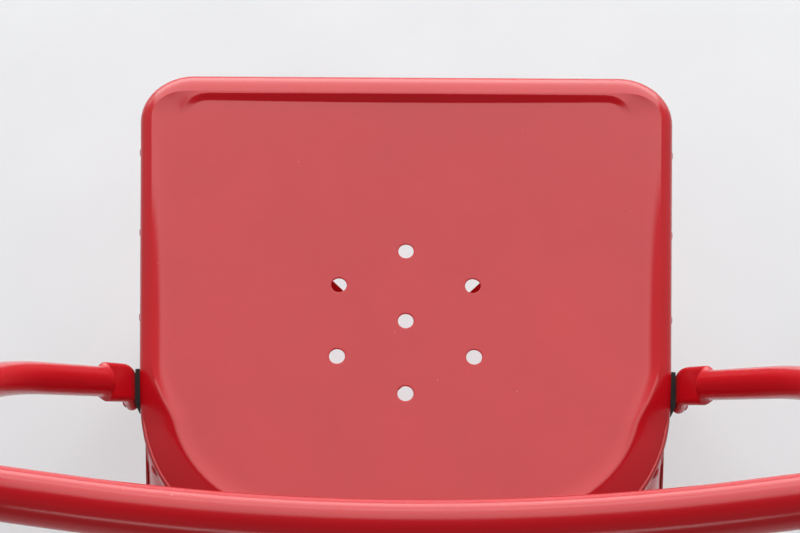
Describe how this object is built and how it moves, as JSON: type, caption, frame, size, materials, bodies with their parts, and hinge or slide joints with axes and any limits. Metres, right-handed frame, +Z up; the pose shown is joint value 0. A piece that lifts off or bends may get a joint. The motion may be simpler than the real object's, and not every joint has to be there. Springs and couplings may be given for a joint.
{
  "type": "stacking chair",
  "caption": "Stacking side chair of enamelled pressed steel: dished seat pan with drain holes, folded sheet legs, tube hoop back with a centre slat.",
  "frame": {"origin": "on the floor, under the middle of the box that holds the chair", "axes": "+Z up; the sitter faces -Y and the back is towards +Y; +X is the right of a viewer who looks along +Y"},
  "size_m": [0.4482, 0.481, 0.832],
  "materials": {
    "red_enamel": "glossy red enamel on steel",
    "enamelled_rivets": "glossy red enamel",
    "black_rubber": "matt moulded rubber"
  },
  "bodies": {
    "root": {"seat_pan": "red_enamel", "back_hoop": "red_enamel", "back_slat": "red_enamel", "brace_strap_upper": "red_enamel", "brace_strap_lower": "red_enamel", "leg_front_right": "red_enamel", "foot_front_right": "black_rubber", "rivets_front_leg_right": "enamelled_rivets", "leg_rear_right": "red_enamel", "foot_rear_right": "black_rubber", "rivets_rear_leg_right": "enamelled_rivets", "hoop_spacer_right": "red_enamel", "rivets_hoop_right": "enamelled_rivets", "leg_front_left": "red_enamel", "foot_front_left": "black_rubber", "rivets_front_leg_left": "enamelled_rivets", "leg_rear_left": "red_enamel", "foot_rear_left": "black_rubber", "rivets_rear_leg_left": "enamelled_rivets", "hoop_spacer_left": "red_enamel", "rivets_hoop_left": "enamelled_rivets", "rivets_brace_ends": "enamelled_rivets", "rivet_brace_crossing": "enamelled_rivets", "rivets_slat_seat": "enamelled_rivets", "rivets_slat_rail": "enamelled_rivets"}
  },
  "joints": []
}
